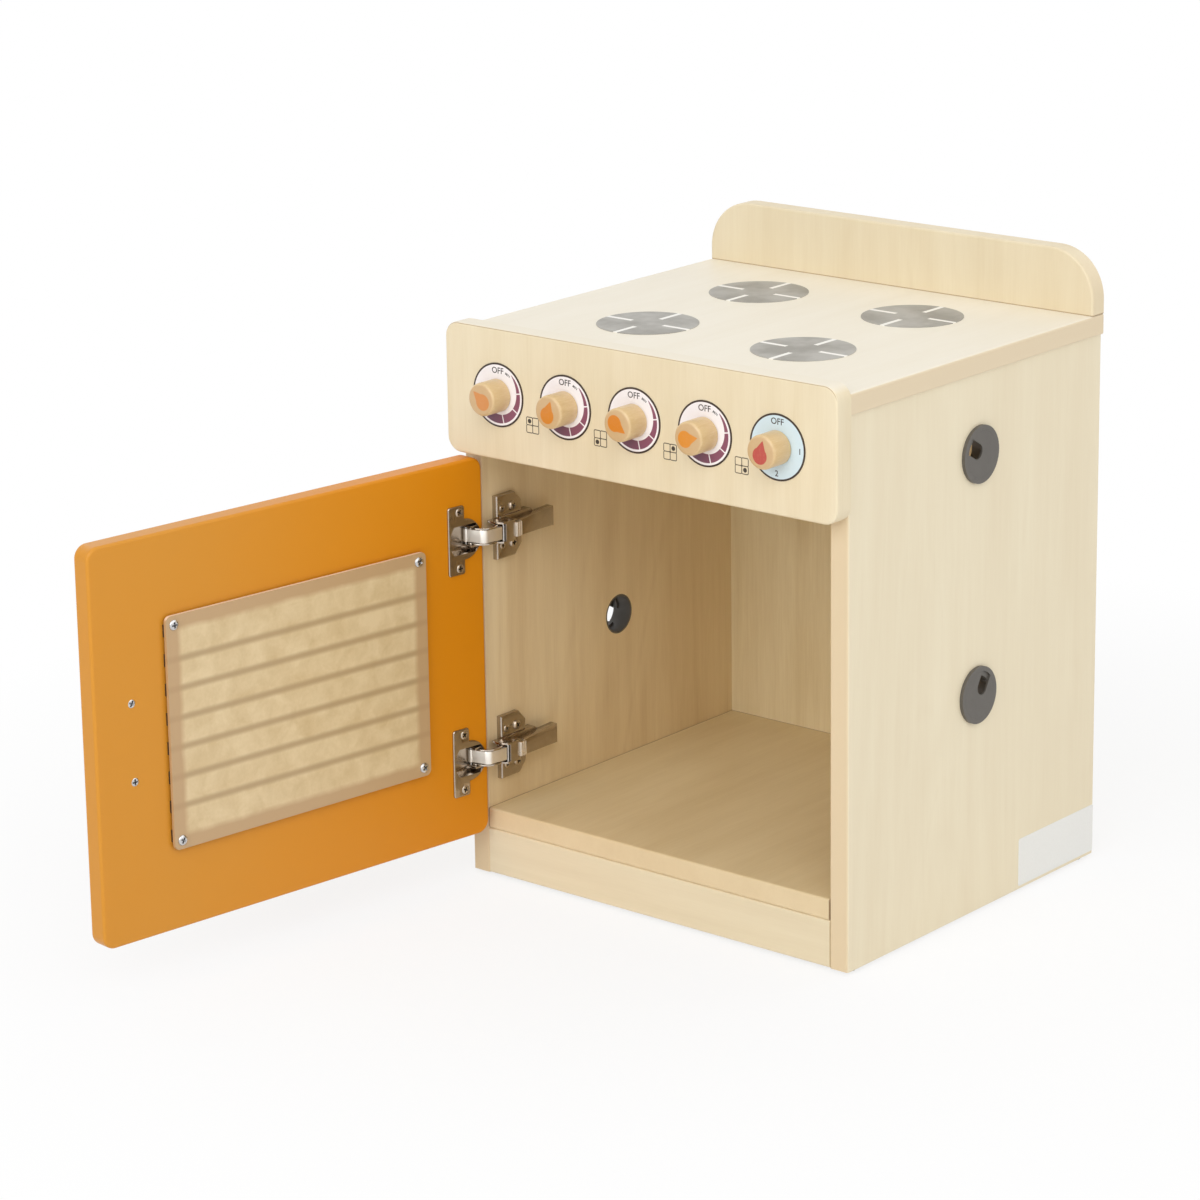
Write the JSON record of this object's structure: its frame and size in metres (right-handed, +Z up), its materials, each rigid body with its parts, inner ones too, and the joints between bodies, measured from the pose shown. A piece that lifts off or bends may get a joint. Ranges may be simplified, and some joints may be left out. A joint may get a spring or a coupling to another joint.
{
  "type": "toy oven",
  "caption": "Toy oven cabinet with hob top, turning wooden knobs and a side door on concealed hinges.",
  "frame": {"origin": "centre of the carcass footprint on the floor", "axes": "+Z up, the front with the door and knobs faces -Y, +X to the right seen from the front"},
  "size_m": [0.4672, 0.7543, 0.53],
  "materials": {
    "cream_top": "painted board, satin",
    "cream_front": "painted board, satin",
    "cream_side": "painted board, satin",
    "oven_floor": "melamine board",
    "oven_back": "melamine board",
    "orange_door": "painted board, satin",
    "beech": "oiled beech",
    "frosted_pane": "frosted acrylic",
    "dark_bar": "painted strip",
    "backing_sheet": "frosted sheet",
    "nickel": "nickel plated steel",
    "zinc_screw": "zinc plated steel",
    "grommet_plastic": "moulded plastic",
    "burner_print": "printed film",
    "dial_print": "printed film",
    "dial_print_blue": "printed film",
    "glide_plastic": "moulded plastic",
    "blank_label": "plain paper label"
  },
  "bodies": {
    "cabinet": {"back_panel": "oven_back", "backsplash": "cream_front", "bottom_board": "oven_floor", "burner_discs": "burner_print", "control_panel": "cream_front", "dial_plate_1": "dial_print", "dial_plate_2": "dial_print", "dial_plate_3": "dial_print", "dial_plate_4": "dial_print", "dial_plate_5": "dial_print_blue", "dowels": "beech", "floor_glides": "glide_plastic", "front_rail": "oven_back", "grommet_liners": "grommet_plastic", "hinge_adjusting_screws": "zinc_screw", "hinge_arm_pins": "zinc_screw", "hinge_plate_screws": "zinc_screw", "kickboard": "cream_front", "knob_washers": "zinc_screw", "left_side_panel": "cream_side", "lower_hinge_arm": "nickel", "lower_mounting_plate": "nickel", "lower_release_clip": "nickel", "right_side_panel": "cream_side", "side_label": "blank_label", "top_board": "cream_top", "upper_hinge_arm": "nickel", "upper_mounting_plate": "nickel", "upper_release_clip": "nickel"},
    "outer_links": {"upper_outer_link": "nickel", "lower_outer_link": "nickel"},
    "inner_links": {"upper_inner_link": "nickel", "lower_inner_link": "nickel"},
    "door": {"door_panel": "orange_door", "window_pane": "frosted_pane", "window_bars": "dark_bar", "window_backing": "backing_sheet", "pane_screws": "zinc_screw", "door_handle": "beech", "handle_screws": "zinc_screw", "upper_hinge_cup": "nickel", "lower_hinge_cup": "nickel", "hinge_cup_screws": "zinc_screw", "hinge_cup_pins": "zinc_screw"},
    "dial_knob_1": {"knob_1": "beech", "knob_bolt_1": "zinc_screw"},
    "dial_knob_2": {"knob_2": "beech", "knob_bolt_2": "zinc_screw"},
    "dial_knob_3": {"knob_3": "beech", "knob_bolt_3": "zinc_screw"},
    "dial_knob_4": {"knob_4": "beech", "knob_bolt_4": "zinc_screw"},
    "dial_knob_5": {"knob_5": "beech", "knob_bolt_5": "zinc_screw"},
    "left_upper_cap": {"left_upper_grommet_cap": "grommet_plastic"},
    "left_lower_cap": {"left_lower_grommet_cap": "grommet_plastic"},
    "right_upper_cap": {"right_upper_grommet_cap": "grommet_plastic"},
    "right_lower_cap": {"right_lower_grommet_cap": "grommet_plastic"}
  },
  "joints": [
    {"name": "link_swing", "type": "hinge", "parent": "cabinet", "child": "outer_links", "pos_m": [-0.16828, -0.17153, 0.20775], "axis": [0, 0, 1], "range_deg": [-40.35, 1.85]},
    {"name": "door_swing", "type": "hinge", "parent": "outer_links", "child": "door", "pos_m": [-0.1775, -0.19308, 0.20775], "axis": [0, 0, 1], "range_deg": [-6, 137.97]},
    {"name": "inner_link_swing", "type": "hinge", "parent": "door", "child": "inner_links", "pos_m": [-0.18243, -0.19373, 0.20775], "axis": [0, 0, 1], "range_deg": [-113.2, 5]},
    {"name": "knob_turn_1", "type": "hinge", "parent": "cabinet", "child": "dial_knob_1", "pos_m": [-0.143, -0.205, 0.429], "axis": [0, -1, 0], "continuous": true},
    {"name": "knob_turn_2", "type": "hinge", "parent": "cabinet", "child": "dial_knob_2", "pos_m": [-0.0715, -0.205, 0.429], "axis": [0, -1, 0], "continuous": true},
    {"name": "knob_turn_3", "type": "hinge", "parent": "cabinet", "child": "dial_knob_3", "pos_m": [0, -0.205, 0.429], "axis": [0, -1, 0], "continuous": true},
    {"name": "knob_turn_4", "type": "hinge", "parent": "cabinet", "child": "dial_knob_4", "pos_m": [0.0715, -0.205, 0.429], "axis": [0, -1, 0], "continuous": true},
    {"name": "knob_turn_5", "type": "hinge", "parent": "cabinet", "child": "dial_knob_5", "pos_m": [0.143, -0.205, 0.429], "axis": [0, -1, 0], "continuous": true},
    {"name": "left_upper_cap_turn", "type": "hinge", "parent": "cabinet", "child": "left_upper_cap", "pos_m": [-0.1987, -0.0005, 0.392], "axis": [-1, 0, 0], "continuous": true},
    {"name": "left_lower_cap_turn", "type": "hinge", "parent": "cabinet", "child": "left_lower_cap", "pos_m": [-0.1987, -0.0005, 0.19], "axis": [-1, 0, 0], "continuous": true},
    {"name": "right_upper_cap_turn", "type": "hinge", "parent": "cabinet", "child": "right_upper_cap", "pos_m": [0.1987, -0.0005, 0.392], "axis": [1, 0, 0], "continuous": true},
    {"name": "right_lower_cap_turn", "type": "hinge", "parent": "cabinet", "child": "right_lower_cap", "pos_m": [0.1987, -0.0005, 0.19], "axis": [1, 0, 0], "continuous": true}
  ],
  "couplings": [
    {"joint": "link_swing", "follows": "door_swing", "ratio": -0.29222},
    {"joint": "inner_link_swing", "follows": "door_swing", "ratio": -0.81962}
  ]
}
